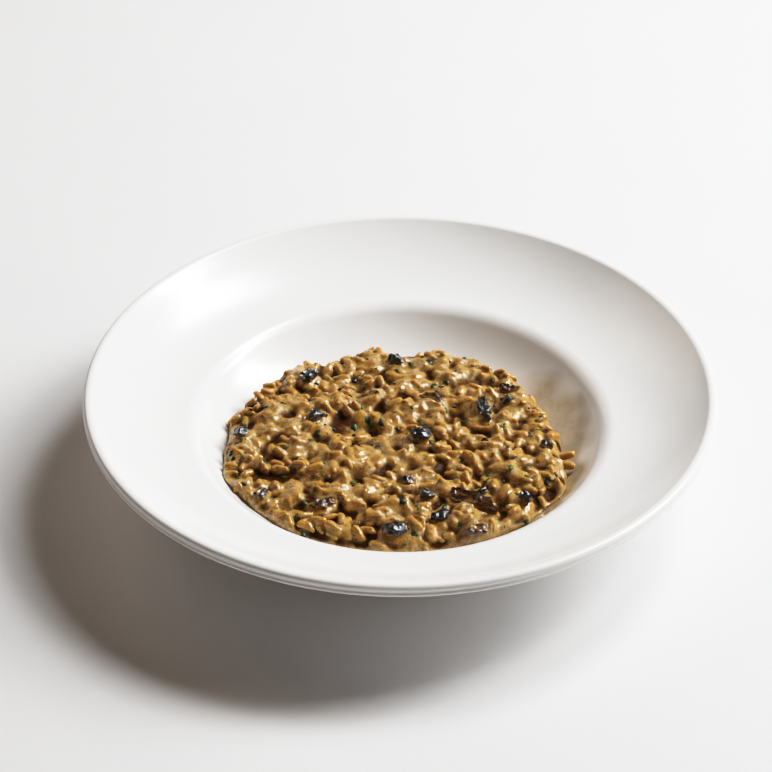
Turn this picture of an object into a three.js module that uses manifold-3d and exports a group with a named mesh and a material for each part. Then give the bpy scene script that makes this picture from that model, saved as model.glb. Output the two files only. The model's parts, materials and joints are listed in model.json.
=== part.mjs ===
import * as THREE from 'three';
import * as BufferGeometryUtils from 'three/addons/utils/BufferGeometryUtils.js';
import Module from 'manifold-3d';

// Mushroom risotto in its wide-rimmed porcelain plate, in millimetres with +Z up.
// The origin is on the table, under the middle of the plate's foot ring, and +Y is the far side.
// The heap of rice is one solid with relief the size of its grains; each large piece of
// mushroom is a solid of its own, bedded in a pocket of the heap.

// ---- Plate: glazed porcelain, round, a deep coved well under a wide curved rim
const FLOOR_RADIUS = 50.2;
const FLOOR_TOP = 7;
const FLOOR_UNDERSIDE = 2.6;
const WALL_THICKNESS = 4.8;
const COVE_RADIUS = 58;
const COVE_SLOPE = 50;
const COVE_STRAIGHT = 1;
const CREST_RADIUS = 12;
const RIM_INNER_SLOPE = 10;
const RIM_OUTER_SLOPE = 41;
const RIM_CURVE_RADIUS = 88.5;
const FOOT_INNER_RADIUS = 62;
const FOOT_OUTER_RADIUS = 69;
const FOOT_BEVEL = 0.9;
const PLATE_SEGMENTS = 48;

// Edge of the rim: a rounded bead above, a shallow groove, and a thin lip below it
const BEAD_RADIUS = 3.3;
const BEAD_SHOULDER_SLOPE = -12;
const SHOULDER_RADIUS = 1.9;
const GROOVE_DROP = 0.4;
const GROOVE_SLOPE = -100;
const GROOVE_RADIUS = 1.2;
const LIP_SLOPE = -50;
const LIP_RADIUS = 1.15;

// ---- Heap of risotto
const HEAP_RADII = [77, 75, 74.5, 73, 75.5, 80, 84, 88, 86.5, 85, 85, 84.5]; // every 30 degrees from +X
const SCALLOPS = [{ height: 0.7, count: 11, phase: 1.0 }, { height: 0.45, count: 23, phase: 2.2 }];
const LOBES = [ // azimuth and spread in degrees
  { azimuth: -27, spread: 7, height: 3 },
  { azimuth: -50, spread: 9, height: 2.5 },
  { azimuth: -155, spread: 9, height: 1.3 },
];
const WELL_GAP = 0.5;
const CROWN = 26;
const BANK_WIDTH = 11;
const BANK_POWER = 2;
const HEAP_RINGS = 29;
const BASE_RINGS = [
  { radius: 66, points: 60 },
  { radius: FLOOR_RADIUS - 2, points: 30 },
  { radius: 22, points: 10 },
];

// Mounds and hollows left by the spoon, and the smaller lumps between them
const MOUNDS = [
  { at: [-6, 24], height: 2.6, radius: 13 },
  { at: [-20, 2], height: -2.6, radius: 9 },
  { at: [-2, -2], height: -2.2, radius: 8 },
  { at: [-28, -24], height: 1.8, radius: 14 },
  { at: [-58, 14], height: 1.4, radius: 13 },
  { at: [34, 38], height: 1.6, radius: 13 },
  { at: [30, 2], height: -1.4, radius: 12 },
  { at: [52, -28], height: 1.2, radius: 15 },
  { at: [-14, -58], height: -1.2, radius: 13 },
];
const LUMPS = [
  { wavelength: 31, heading: 20, phase: 0.4, height: 0.55 },
  { wavelength: 23, heading: 95, phase: 2.1, height: 0.5 },
  { wavelength: 17, heading: 150, phase: 4.0, height: 0.45 },
  { wavelength: 12, heading: 55, phase: 1.2, height: 0.35 },
];

// Rice: cooked round-grain rice, plump, bound by sauce that fills between the grains
const GRAIN_LENGTH = 8.4;
const GRAIN_WIDTH = 3.7;
const GRAIN_SIDES = 5;
const GRAIN_RINGS = 4;
const GRAIN_PROUD = 1.05;
const SAUCE_SUNK = -0.75;
const END_ON_PROUD = 0.7;
const GRID_JITTER = 0.4;
const NEIGHBOUR_REACH = 1.55; // in spacings of the grid
const EDGE_GRAINS = 22;
const EDGE_GRAIN_INSET = [2.6, 4.6];
const EDGE_GRAIN_TURN = 0.6;
const JUTTING_GRAINS = [{ at: [80.5, -14.5], heading: -6 }, { at: [79, -20.5], heading: -24 }];
const GRAIN_RISE = 0.5;
const HERB_FLAKES = { count: 24, size: [4.2, 2.2, 1.3], sides: 5, rings: 2, phase: 0.5 };
const MUSHROOM_CRUMBS = { count: 8, size: [5, 4, 3.2], sides: 5, rings: 3, phase: 2.6 };
const CRUMB_RISE = 0.7;
const CRUMB_PITCH = 0.2;
const CRUMB_MARGIN = 9;
const RICE_SEED = 20817;

// ---- Mushroom: length, width and thickness, place on the heap, heading, roll about the length,
// pitch of the length, sideways bend and how far the middle lies above the heap's surface
const POCKET_GAP = 0.4;
const MUSHROOMS = [
  { name: 'cap_slice_long', size: [28, 9.5, 5], at: [32, -58],
    heading: -30, roll: 28, bend: 2.6, lift: 1.2 },
  { name: 'cap_block_middle', size: [12.5, 7.5, 6.5], at: [10, -6], heading: 5, lift: 1.6 },
  { name: 'cap_strip_upright', size: [16, 6.5, 5.5], at: [41, 15],
    heading: 97, pitch: 10, bend: 0.8, lift: 1.4 },
  { name: 'slice_brown_right', size: [12, 5.5, 5], at: [53, 31],
    heading: -12, roll: 20, bend: 0.8, lift: 1.6 },
  { name: 'piece_under_slice', size: [7, 5, 4.5], at: [52, 23.2], heading: 20, lift: 0.6 },
  { name: 'slice_brown_middle', size: [13, 8, 4.5], at: [16.5, 22],
    heading: 18, roll: 24, bend: 1, lift: 0.8 },
  { name: 'piece_far_edge', size: [9, 6.5, 5], at: [-2, 57], heading: -15, lift: 1.2 },
  { name: 'cap_fold_far_left', size: [10, 7, 7], at: [-43.5, 41], heading: 60, bend: 1, lift: 1.6 },
  { name: 'cap_chunk_left', size: [10.5, 8.5, 7], at: [-40, 9], heading: 30, bend: 0.6, lift: 1.6 },
  { name: 'piece_left_edge', size: [7, 6, 5.5], at: [-76.5, -4], heading: 70, lift: 1 },
  { name: 'piece_near_left', size: [9.5, 5.5, 4.5], at: [-64, -49], heading: 75, bend: 0.6, lift: 0.8 },
  { name: 'slice_near_left', size: [12, 6.5, 5], at: [-35.5, -57.5], heading: 25, bend: 1, lift: 1 },
  { name: 'cap_dome_near', size: [11.5, 8.5, 6.5], at: [-3.3, -77], heading: 5, lift: 1.4 },
  { name: 'piece_right_edge', size: [7.5, 6, 5], at: [69.5, -11.5], heading: -20, bend: 0.4, lift: 1 },
  { name: 'roll_middle', size: [8, 5.5, 5], at: [4, -39], heading: 22, bend: 0.5, lift: 1 },
  { name: 'piece_beside_slice', size: [8.5, 5.5, 5], at: [12.4, -51.6], heading: 0, bend: 0.5, lift: 1 },
  { name: 'chunk_near', size: [10, 7.5, 5.5], at: [18, -67.5], heading: 15, lift: 1.2 },
  { name: 'piece_near_right', size: [8.5, 6, 5], at: [57.5, -54], heading: 110, bend: 0.5, lift: 1 },
  { name: 'slice_near_right', size: [12.5, 6.5, 5], at: [34.5, -75.5],
    heading: 14, roll: 10, bend: 0.8, lift: 1 },
];
const PIECE_SIDES = 8;
const PIECE_RINGS = 5;
const PIECE_BOXINESS = 0.62;
const PIECE_UNEVEN = 0.13;
const SMALL_PIECE = 8.6;
const SMALL_PIECE_SIDES = 6;
const SMALL_PIECE_RINGS = 4;

const FULL_TURN = 2 * Math.PI;
const MERGE_DISTANCE = 1e-4;

const wasm = await Module();
wasm.setup();

const porcelain = new THREE.MeshStandardMaterial({ color: '#eceded', roughness: 0.12, metalness: 0 });
const creamedRice = new THREE.MeshStandardMaterial({ color: '#a8803f', roughness: 0.3, metalness: 0 });
const cookedMushroom = new THREE.MeshStandardMaterial({ color: '#241f1d', roughness: 0.25, metalness: 0 });

// ---- Small helpers

function radians(degrees) {
  return degrees * Math.PI / 180;
}

// Repeatable draws, by default between 0 and 1
function seededDraw(seed) {
  let state = seed;
  return (low = 0, high = 1) => {
    state = (state + 0x6D2B79F5) | 0;
    let mixed = Math.imul(state ^ (state >>> 15), 1 | state);
    mixed = (mixed + Math.imul(mixed ^ (mixed >>> 7), 61 | mixed)) ^ mixed;
    return low + (high - low) * ((mixed ^ (mixed >>> 14)) >>> 0) / 2 ** 32;
  };
}

// One shared vertex per place, and no collapsed triangles
function closedSurface(geometry) {
  geometry.deleteAttribute('normal');
  geometry.deleteAttribute('uv');
  const merged = BufferGeometryUtils.mergeVertices(geometry, MERGE_DISTANCE);
  const corners = merged.index.array;
  const kept = [];
  for (let i = 0; i < corners.length; i += 3) {
    const [a, b, c] = [corners[i], corners[i + 1], corners[i + 2]];
    if (a !== b && b !== c && c !== a) kept.push(a, b, c);
  }
  merged.setIndex(kept);
  return merged;
}

function toManifold(geometry) {
  return new wasm.Manifold(new wasm.Mesh({
    numProp: 3,
    vertProperties: new Float32Array(geometry.attributes.position.array),
    triVerts: new Uint32Array(geometry.index.array),
  }));
}

function fromManifold(manifold) {
  const mesh = manifold.getMesh();
  const geometry = new THREE.BufferGeometry();
  geometry.setAttribute('position', new THREE.Float32BufferAttribute(mesh.vertProperties, 3));
  geometry.setIndex(new THREE.Uint32BufferAttribute(mesh.triVerts, 1));
  return geometry;
}

// ---- Plate

// Draws a section: a point walks outwards at a heading above the horizontal, in lines and arcs,
// and leaves points set off to its right (under the surface) by a fixed distance.
class SectionPen {
  constructor(r, z, heading, offset) {
    Object.assign(this, { r, z, heading, offset, points: [] });
    this.mark();
  }

  mark() {
    const h = radians(this.heading);
    const [r, z] = [this.r + this.offset * Math.sin(h), this.z - this.offset * Math.cos(h)];
    this.points.push(new THREE.Vector2(r, z));
  }

  line(length) {
    this.r += length * Math.cos(radians(this.heading));
    this.z += length * Math.sin(radians(this.heading));
    this.mark();
  }

  arc(radius, toHeading, steps) {
    const side = Math.sign(toHeading - this.heading);
    const start = this.heading;
    const centreR = this.r - side * radius * Math.sin(radians(start));
    const centreZ = this.z + side * radius * Math.cos(radians(start));
    for (let step = 1; step <= steps; step++) {
      this.heading = start + (toHeading - start) * step / steps;
      this.r = centreR + side * radius * Math.sin(radians(this.heading));
      this.z = centreZ - side * radius * Math.cos(radians(this.heading));
      this.mark();
    }
  }
}

// Well wall, crest and rim, from the edge of the flat floor to the start of the bead
function wallSection(offset, steps) {
  const pen = new SectionPen(FLOOR_RADIUS, FLOOR_TOP, 0, offset);
  pen.arc(COVE_RADIUS, COVE_SLOPE, steps.cove);
  pen.line(COVE_STRAIGHT);
  pen.arc(CREST_RADIUS, RIM_INNER_SLOPE, steps.crest);
  pen.arc(RIM_CURVE_RADIUS, RIM_OUTER_SLOPE, steps.rim);
  return pen;
}

function plateGeometry() {
  const upper = wallSection(0, { cove: 6, crest: 3, rim: 4 });
  upper.arc(BEAD_RADIUS, BEAD_SHOULDER_SLOPE, 3);
  upper.arc(SHOULDER_RADIUS, GROOVE_SLOPE, 2);
  upper.line(GROOVE_DROP);
  upper.arc(GROOVE_RADIUS, LIP_SLOPE, 1);
  upper.arc(LIP_RADIUS, -180, 3);

  const lower = wallSection(WALL_THICKNESS, { cove: 5, crest: 2, rim: 3 });
  const outsideFoot = lower.points.filter((point) => point.x > FOOT_OUTER_RADIUS + FOOT_BEVEL);
  const foot = [
    [0, FLOOR_UNDERSIDE],
    [FOOT_INNER_RADIUS - FOOT_BEVEL, FLOOR_UNDERSIDE],
    [FOOT_INNER_RADIUS, FOOT_BEVEL],
    [FOOT_INNER_RADIUS + FOOT_BEVEL, 0],
    [FOOT_OUTER_RADIUS - FOOT_BEVEL, 0],
    [FOOT_OUTER_RADIUS, FOOT_BEVEL],
    [FOOT_OUTER_RADIUS, wellHeight(FOOT_OUTER_RADIUS) - WALL_THICKNESS],
  ].map(([r, z]) => new THREE.Vector2(r, z));

  const section = [...foot, ...outsideFoot, ...upper.points.reverse(), new THREE.Vector2(0, FLOOR_TOP)];
  return closedSurface(new THREE.LatheGeometry(section, PLATE_SEGMENTS).rotateX(Math.PI / 2));
}

// Height of the well's inner surface at a radius
function wellHeight(r) {
  const outward = Math.max(r - FLOOR_RADIUS, 0);
  return FLOOR_TOP + COVE_RADIUS - Math.sqrt(COVE_RADIUS ** 2 - outward ** 2);
}

// ---- Heap

// Radius of the heap's edge at an azimuth: a closed curve through HEAP_RADII, with scallops and lobes
function outlineRadius(azimuth) {
  const count = HEAP_RADII.length;
  const turn = ((azimuth / FULL_TURN) % 1 + 1) % 1 * count;
  const index = Math.floor(turn);
  const t = turn - index;
  const [a, b, c, d] = [-1, 0, 1, 2].map((step) => HEAP_RADII[(index + step + count) % count]);
  let radius = b + 0.5 * t * (c - a + t * (2 * a - 5 * b + 4 * c - d + t * (3 * (b - c) + d - a)));
  for (const { height, count: waves, phase } of SCALLOPS) {
    radius += height * Math.sin(waves * azimuth + phase);
  }
  for (const { azimuth: middle, spread, height } of LOBES) {
    const away = azimuth - radians(middle);
    const apart = Math.atan2(Math.sin(away), Math.cos(away)) / radians(spread);
    radius += height * Math.exp(-(apart ** 2));
  }
  return radius;
}

// Height of the heap before its grains are added
function heapHeight(x, y) {
  const edge = outlineRadius(Math.atan2(y, x));
  const edgeHeight = wellHeight(edge) + WELL_GAP;
  let top = CROWN;
  for (const { at, height, radius } of MOUNDS) {
    top += height * Math.exp(-((x - at[0]) ** 2 + (y - at[1]) ** 2) / radius ** 2);
  }
  for (const { wavelength, heading, phase, height } of LUMPS) {
    const along = x * Math.cos(radians(heading)) + y * Math.sin(radians(heading));
    top += height * Math.sin(FULL_TURN * along / wavelength + phase);
  }
  const inside = Math.min(Math.max((edge - Math.hypot(x, y)) / BANK_WIDTH, 0), 1);
  const bank = (1 - (1 - inside) ** BANK_POWER) ** (1 / BANK_POWER);
  return edgeHeight + (top - edgeHeight) * bank;
}

// Triangles between two rings of points that both start at azimuth 0, facing up when
// the outer ring comes second
function stitchRings(inner, outer, triangles) {
  let i = 0;
  let o = 0;
  while (i < inner.length || o < outer.length) {
    const a = inner[i % inner.length];
    const b = outer[o % outer.length];
    const outerIsNext = (o + 1) * inner.length <= (i + 1) * outer.length;
    if (i === inner.length || (o < outer.length && outerIsNext)) {
      o++;
      triangles.push(a, b, outer[o % outer.length]);
    } else {
      i++;
      triangles.push(a, b, inner[i % inner.length]);
    }
  }
}

// Lays grains on the grid of the heap's top: each grain is a ridge over three neighbouring
// vertices, with sauce in the dips between ridges. Returns the relief of every vertex.
function grainRelief(points, draw) {
  const meanRadius = HEAP_RADII.reduce((sum, radius) => sum + radius, 0) / HEAP_RADII.length;
  const reach = NEIGHBOUR_REACH * meanRadius / HEAP_RINGS;
  const neighbours = points.map((p) => points
    .map((q, j) => ({ j, dx: q[0] - p[0], dy: q[1] - p[1] }))
    .filter(({ dx, dy }) => Math.hypot(dx, dy) > 0 && Math.hypot(dx, dy) < reach));
  const relief = points.map(() => null);
  const shuffled = points.map((_, i) => ({ i, key: draw() })).sort((a, b) => a.key - b.key);
  const order = shuffled.map(({ i }) => i);
  const isFree = (i) => relief[i] === null && neighbours[i].every(({ j }) => relief[j] === null);
  for (const i of order) {
    const around = neighbours[i];
    if (around.length === 0 || !isFree(i)) continue;
    const ahead = around[Math.floor(draw() * around.length)];
    const behind = around.reduce((best, n) =>
      (n.dx * ahead.dx + n.dy * ahead.dy < best.dx * ahead.dx + best.dy * ahead.dy ? n : best));
    if (!isFree(ahead.j) || !isFree(behind.j)) continue;
    relief[i] = GRAIN_PROUD * draw(0.75, 1.25);
    relief[ahead.j] = relief[i] * draw(0.7, 1);
    relief[behind.j] = relief[i] * draw(0.7, 1);
  }
  // A grain seen end on stands alone; what is left is sauce
  for (const i of order) {
    if (isFree(i)) relief[i] = END_ON_PROUD;
  }
  return relief.map((height) => height ?? SAUCE_SUNK * draw(0.6, 1));
}

// The heap: a grid of rings over the top, and a plain underside that follows the well
function heapGeometry(draw) {
  const top = [[0, 0]];
  const topRings = [];
  for (let ring = 1; ring <= HEAP_RINGS; ring++) {
    const indices = [];
    for (let step = 0; step < 6 * ring; step++) {
      const azimuth = FULL_TURN * step / (6 * ring);
      const radius = outlineRadius(azimuth) * ring / HEAP_RINGS;
      const wander = ring < HEAP_RINGS ? GRID_JITTER : 0;
      indices.push(top.length);
      top.push([
        radius * Math.cos(azimuth) + draw(-wander, wander),
        radius * Math.sin(azimuth) + draw(-wander, wander),
      ]);
    }
    topRings.push(indices);
  }
  const edgeStart = topRings.at(-1)[0];
  const relief = grainRelief(top.slice(0, edgeStart), draw);
  const vertices = top.map(([x, y], i) => [x, y, heapHeight(x, y) + (relief[i] ?? 0)]);
  const triangles = [];
  for (const [step, index] of topRings[0].entries()) {
    triangles.push(0, index, topRings[0][(step + 1) % 6]);
  }
  for (let ring = 1; ring < HEAP_RINGS; ring++) stitchRings(topRings[ring - 1], topRings[ring], triangles);

  let outer = topRings.at(-1);
  const underside = [];
  for (const { radius, points } of BASE_RINGS) {
    const inner = [];
    for (let step = 0; step < points; step++) {
      const azimuth = FULL_TURN * step / points;
      inner.push(vertices.length);
      const height = wellHeight(radius) + WELL_GAP;
      vertices.push([radius * Math.cos(azimuth), radius * Math.sin(azimuth), height]);
    }
    stitchRings(inner, outer, underside);
    outer = inner;
  }
  const middle = vertices.length;
  vertices.push([0, 0, FLOOR_TOP + WELL_GAP]);
  for (const [step, index] of outer.entries()) {
    underside.push(middle, index, outer[(step + 1) % outer.length]);
  }
  for (let i = 0; i < underside.length; i += 3) {
    triangles.push(underside[i], underside[i + 2], underside[i + 1]);
  }

  const geometry = new THREE.BufferGeometry();
  geometry.setAttribute('position', new THREE.Float32BufferAttribute(vertices.flat(), 3));
  geometry.setIndex(triangles);
  return geometry;
}

// A small body of few sides, longest along X: a grain, a flake or a crumb
function smallBody([length, width, height], sides, rings) {
  return closedSurface(new THREE.SphereGeometry(0.5, sides, rings)
    .rotateZ(Math.PI / 2)
    .scale(length, width, height));
}

// Sets a body down on the heap, turned and tipped, its middle at `rise` above the surface
// or higher, so that its ends stay clear of the well
function laidOnHeap(size, sides, rings, x, y, heading, pitch, rise) {
  const farEnd = [-1, 1].map((side) => Math.hypot(
    x + side * size[0] / 2 * Math.cos(heading),
    y + side * size[0] / 2 * Math.sin(heading),
  ));
  const lowest = wellHeight(Math.max(...farEnd) + size[1] / 2) + size[2] / 2 + WELL_GAP;
  const z = Math.max(heapHeight(x, y) + rise, lowest);
  return toManifold(smallBody(size, sides, rings).rotateY(-pitch).rotateZ(heading).translate(x, y, z));
}

function isClearOfMushrooms(x, y, room) {
  return MUSHROOMS.every(({ at, size }) => Math.hypot(x - at[0], y - at[1]) > size[0] / 2 + room);
}

// Grains that lie along the edge or jut over it
function edgeGrains(draw) {
  const placed = [...JUTTING_GRAINS];
  for (let i = 0; i < EDGE_GRAINS; i++) {
    const azimuth = FULL_TURN * (i + draw(0, 0.6)) / EDGE_GRAINS;
    const radius = outlineRadius(azimuth) - draw(...EDGE_GRAIN_INSET);
    const turn = azimuth + Math.PI / 2 + draw(-EDGE_GRAIN_TURN, EDGE_GRAIN_TURN);
    const at = [radius * Math.cos(azimuth), radius * Math.sin(azimuth)];
    if (isClearOfMushrooms(...at, GRAIN_LENGTH / 2)) placed.push({ at, heading: turn / radians(1) });
  }
  const size = [GRAIN_LENGTH, GRAIN_WIDTH, GRAIN_WIDTH];
  return placed.map(({ at, heading }) =>
    laidOnHeap(size, GRAIN_SIDES, GRAIN_RINGS, ...at, radians(heading), 0, GRAIN_RISE));
}

// Chopped herb or mushroom crumbs, spread evenly over the heap on a spiral
function scatteredBits({ count, size, sides, rings, phase }, draw) {
  const goldenAngle = Math.PI * (3 - Math.sqrt(5));
  const bits = [];
  for (let i = 0; i < count; i++) {
    const radius = (outlineRadius(0) - CRUMB_MARGIN) * Math.sqrt((i + 0.5) / count);
    const azimuth = goldenAngle * i + phase;
    const at = [radius * Math.cos(azimuth), radius * Math.sin(azimuth)];
    const heading = draw(0, FULL_TURN);
    const pitch = draw(-CRUMB_PITCH, CRUMB_PITCH);
    if (!isClearOfMushrooms(...at, size[0])) continue;
    bits.push(laidOnHeap(size, sides, rings, ...at, heading, pitch, CRUMB_RISE));
  }
  return bits;
}

// ---- Mushroom

// A torn or sliced piece: a rounded, uneven block, bent sideways, longest along X
function mushroomGeometry({ size: [length, width, height], bend = 0, at }, grow) {
  const isSmall = length < SMALL_PIECE;
  const sides = isSmall ? SMALL_PIECE_SIDES : PIECE_SIDES;
  const rings = isSmall ? SMALL_PIECE_RINGS : PIECE_RINGS;
  const geometry = closedSurface(new THREE.SphereGeometry(1, sides, rings).rotateZ(Math.PI / 2));
  const position = geometry.attributes.position;
  const soften = (value) => Math.sign(value) * Math.abs(value) ** PIECE_BOXINESS;
  for (let i = 0; i < position.count; i++) {
    const [u, v, w] = [position.getX(i), position.getY(i), position.getZ(i)];
    const uneven = 1 + PIECE_UNEVEN * Math.sin(2.7 * u + 4.1 * v - 3.3 * w + at[0] + 2 * at[1]);
    const x = soften(u) * uneven;
    const y = soften(v) * uneven;
    const z = soften(w) * uneven;
    position.setXYZ(
      i,
      x * (length / 2 + grow),
      y * (width / 2 + grow) + bend * x ** 2,
      z * (height / 2 + grow),
    );
  }
  return geometry;
}

function placeMushroom(piece, object) {
  const { at, heading, roll = 0, pitch = 0, lift } = piece;
  object.position.set(at[0], at[1], heapHeight(...at) + lift);
  object.rotation.set(radians(roll), radians(-pitch), radians(heading), 'ZYX');
  object.updateMatrix();
}

function mushroomMesh(piece) {
  const mesh = new THREE.Mesh(mushroomGeometry(piece, 0), cookedMushroom.clone());
  mesh.name = `mushroom_${piece.name}`;
  placeMushroom(piece, mesh);
  return mesh;
}

function mushroomPocket(piece) {
  const place = new THREE.Object3D();
  placeMushroom(piece, place);
  return toManifold(mushroomGeometry(piece, POCKET_GAP).applyMatrix4(place.matrix));
}

// The heap with its loose bits fused on and a pocket cut for each mushroom; scraps are dropped
function risottoGeometry() {
  const draw = seededDraw(RICE_SEED);
  let heap = toManifold(heapGeometry(draw));
  const bits = [
    ...edgeGrains(draw),
    ...scatteredBits(HERB_FLAKES, draw),
    ...scatteredBits(MUSHROOM_CRUMBS, draw),
  ];
  for (const bit of bits) heap = heap.add(bit);
  for (const piece of MUSHROOMS) heap = heap.subtract(mushroomPocket(piece));
  const whole = heap.decompose().sort((a, b) => b.volume() - a.volume())[0];
  return fromManifold(whole);
}

// ---- The dish

const dish = new THREE.Group();

const plate = new THREE.Mesh(plateGeometry(), porcelain);
plate.name = 'plate';
dish.add(plate);

const risotto = new THREE.Mesh(risottoGeometry(), creamedRice);
risotto.name = 'risotto';
dish.add(risotto);

for (const piece of MUSHROOMS) dish.add(mushroomMesh(piece));

export default dish;
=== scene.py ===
import json
import math

import bpy
import numpy as np
from mathutils import Matrix, Vector, noise

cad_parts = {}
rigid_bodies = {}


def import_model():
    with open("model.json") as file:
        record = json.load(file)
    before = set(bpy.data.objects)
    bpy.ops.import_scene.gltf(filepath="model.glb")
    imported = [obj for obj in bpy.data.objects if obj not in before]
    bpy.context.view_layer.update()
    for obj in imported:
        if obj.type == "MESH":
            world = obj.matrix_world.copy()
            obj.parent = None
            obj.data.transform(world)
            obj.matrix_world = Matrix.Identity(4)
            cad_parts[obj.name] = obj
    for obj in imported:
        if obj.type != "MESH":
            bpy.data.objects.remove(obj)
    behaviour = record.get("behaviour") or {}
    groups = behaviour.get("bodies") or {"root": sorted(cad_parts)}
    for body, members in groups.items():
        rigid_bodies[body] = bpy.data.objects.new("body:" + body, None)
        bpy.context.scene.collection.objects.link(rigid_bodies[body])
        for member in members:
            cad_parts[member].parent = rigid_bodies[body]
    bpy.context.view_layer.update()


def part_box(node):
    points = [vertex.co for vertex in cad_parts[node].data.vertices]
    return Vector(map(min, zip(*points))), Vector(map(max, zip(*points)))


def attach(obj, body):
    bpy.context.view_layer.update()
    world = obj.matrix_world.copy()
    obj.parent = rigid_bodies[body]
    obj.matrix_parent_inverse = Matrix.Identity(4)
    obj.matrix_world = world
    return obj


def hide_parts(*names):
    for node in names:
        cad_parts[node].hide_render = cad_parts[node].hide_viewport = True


# Mushroom risotto in its wide-rimmed porcelain plate. Metres, +Z up; the diner sits on the -Y side.
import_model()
MM = 0.001


# ---- Where the dish is seen from
# A still camera on the diner's side looks down on the plate through a long lens.
LOOK_AT = Vector((-6.74, 0, 51.8)) * MM
CAMERA_DISTANCE = 1.25
CAMERA_ELEVATION = math.radians(35.96)
CAMERA_LENS = 123.1

back = Vector((0, -math.cos(CAMERA_ELEVATION), math.sin(CAMERA_ELEVATION)))
bpy.ops.object.camera_add(location=LOOK_AT + back * CAMERA_DISTANCE)
camera = bpy.context.object
camera.rotation_euler = back.to_track_quat("Z", "Y").to_euler()
camera.data.lens = CAMERA_LENS
bpy.context.scene.camera = camera


# ---- Light
# A tall, narrow soft box stands to the right and a little behind the dish, and a smaller one hangs
# over it; pale walls, slightly warm, and warm reflectors before and behind fill the shadows.
WHITE, COOL, WARM = (1.0, 1.0, 1.0), (0.93, 0.97, 1.0), (1.0, 0.82, 0.66)
SOFT_BOXES = {  # azimuth, elevation, distance, width, height, watts and colour
    "key_box": (18, 40, 2.0, 0.5, 1.0, 26.5, WHITE),
    "top_box": (42, 56, 1.5, 0.42, 0.42, 9.5, COOL),
    "side_box": (8, 27, 1.9, 0.8, 0.8, 4.5, WHITE),
    "back_reflector": (138, 36, 2.0, 1.2, 1.2, 4.5, WARM),
    "front_reflector": (-95, 18, 2.2, 1.6, 1.6, 2.5, WARM),
}
WALL_COLOUR = (1.0, 0.82, 0.7, 1)
WALL_STRENGTH = 0.036

for name, (azimuth, elevation, distance, width, height, watts, colour) in SOFT_BOXES.items():
    azimuth, elevation = math.radians(azimuth), math.radians(elevation)
    toward_box = Vector((
        math.cos(azimuth) * math.cos(elevation),
        math.sin(azimuth) * math.cos(elevation),
        math.sin(elevation),
    ))
    bpy.ops.object.light_add(type="AREA", location=toward_box * distance)
    soft_box = bpy.context.object
    soft_box.name = name
    soft_box.rotation_euler = toward_box.to_track_quat("Z", "Y").to_euler()
    soft_box.data.shape = "RECTANGLE"
    soft_box.data.size = width
    soft_box.data.size_y = height
    soft_box.data.energy = watts
    soft_box.data.color = colour

world = bpy.data.worlds.new("pale_room")
bpy.context.scene.world = world
world.use_nodes = True
world.node_tree.nodes["Background"].inputs["Color"].default_value = WALL_COLOUR
world.node_tree.nodes["Background"].inputs["Strength"].default_value = WALL_STRENGTH

# The view is developed with a gentle shoulder, so that white porcelain keeps its shading
SHOULDER_REACH = 1.4
SHOULDER = [  # light in, as a part of the reach, and light out
    (0.036, 0.035), (0.071, 0.085), (0.143, 0.22), (0.214, 0.365), (0.307, 0.56),
    (0.414, 0.74), (0.536, 0.85), (0.643, 0.905), (0.786, 0.95),
]
view = bpy.context.scene.view_settings
view.view_transform = "Standard"
view.use_curve_mapping = True
view.curve_mapping.white_level = (SHOULDER_REACH, SHOULDER_REACH, SHOULDER_REACH)
for light_in, light_out in SHOULDER:
    view.curve_mapping.curves[3].points.new(light_in, light_out)
view.curve_mapping.update()


# ---- Table
# A matt white painted board with the faint grain of roller paint, a little cloudy.
TABLE_SIZE = 6.0
TABLE_COLOUR = "#F4F4F4"
TABLE_CLOUD_COLOUR = "#EDEDEE"
CLOUD_WIDTH = 90 * MM
PAINT_GRAIN_WIDTH = 1.6 * MM
PAINT_GRAIN_DEPTH = 0.05 * MM


def linear(colour):
    """Linear RGBA of an sRGB hex colour."""
    channels = [int(colour[i:i + 2], 16) / 255 for i in (1, 3, 5)]
    return (*[c / 12.92 if c <= 0.04045 else ((c + 0.055) / 1.055) ** 2.4 for c in channels], 1)

def add_node(tree, kind, settings=None):
    """Adds a node and gives it its settings; a setting that is another node's output is linked."""
    node = tree.nodes.new(kind)
    for name, value in (settings or {}).items():
        if isinstance(value, bpy.types.NodeSocket):
            tree.links.new(value, node.inputs[name])
        elif isinstance(name, int) or name in node.inputs:
            node.inputs[name].default_value = value
        else:
            setattr(node, name, value)
    return node


def new_material(name):
    """An empty node material, and its node tree."""
    material = bpy.data.materials.new(name)
    material.use_nodes = True
    material.node_tree.nodes.clear()
    return material, material.node_tree


def noise_pattern(tree, width, detail, distortion=0.0):
    """A cloudy pattern in space, of a width in metres."""
    place = add_node(tree, "ShaderNodeTexCoord").outputs["Object"]
    return add_node(tree, "ShaderNodeTexNoise", {
        "Scale": 1 / width, "Detail": detail, "Distortion": distortion, "Vector": place,
    }).outputs["Fac"]


def attribute(tree, name):
    """What the mesh holds at each point under a name."""
    return add_node(tree, "ShaderNodeAttribute", {"attribute_name": name}).outputs["Fac"]


def ramp(tree, value, over, to=(0.0, 1.0)):
    """Runs from one end of a range to the other while the value runs over its own."""
    return add_node(tree, "ShaderNodeMapRange", {
        "Value": value, "From Min": over[0], "From Max": over[1], "To Min": to[0], "To Max": to[1],
    }).outputs[0]


def maths(tree, operation, first, second=0.0):
    """An operation on two values, each a number or a node's output."""
    return add_node(tree, "ShaderNodeMath", {
        "operation": operation, 0: first, 1: second,
    }).outputs[0]


def mixed(tree, part, first, second):
    """The first colour with a part of the second; each is a hex colour or a node's output."""
    first, second = (linear(c) if isinstance(c, str) else c for c in (first, second))
    return add_node(tree, "ShaderNodeMix", {
        "data_type": "RGBA", 0: part, 6: first, 7: second,
    }).outputs[2]


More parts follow.
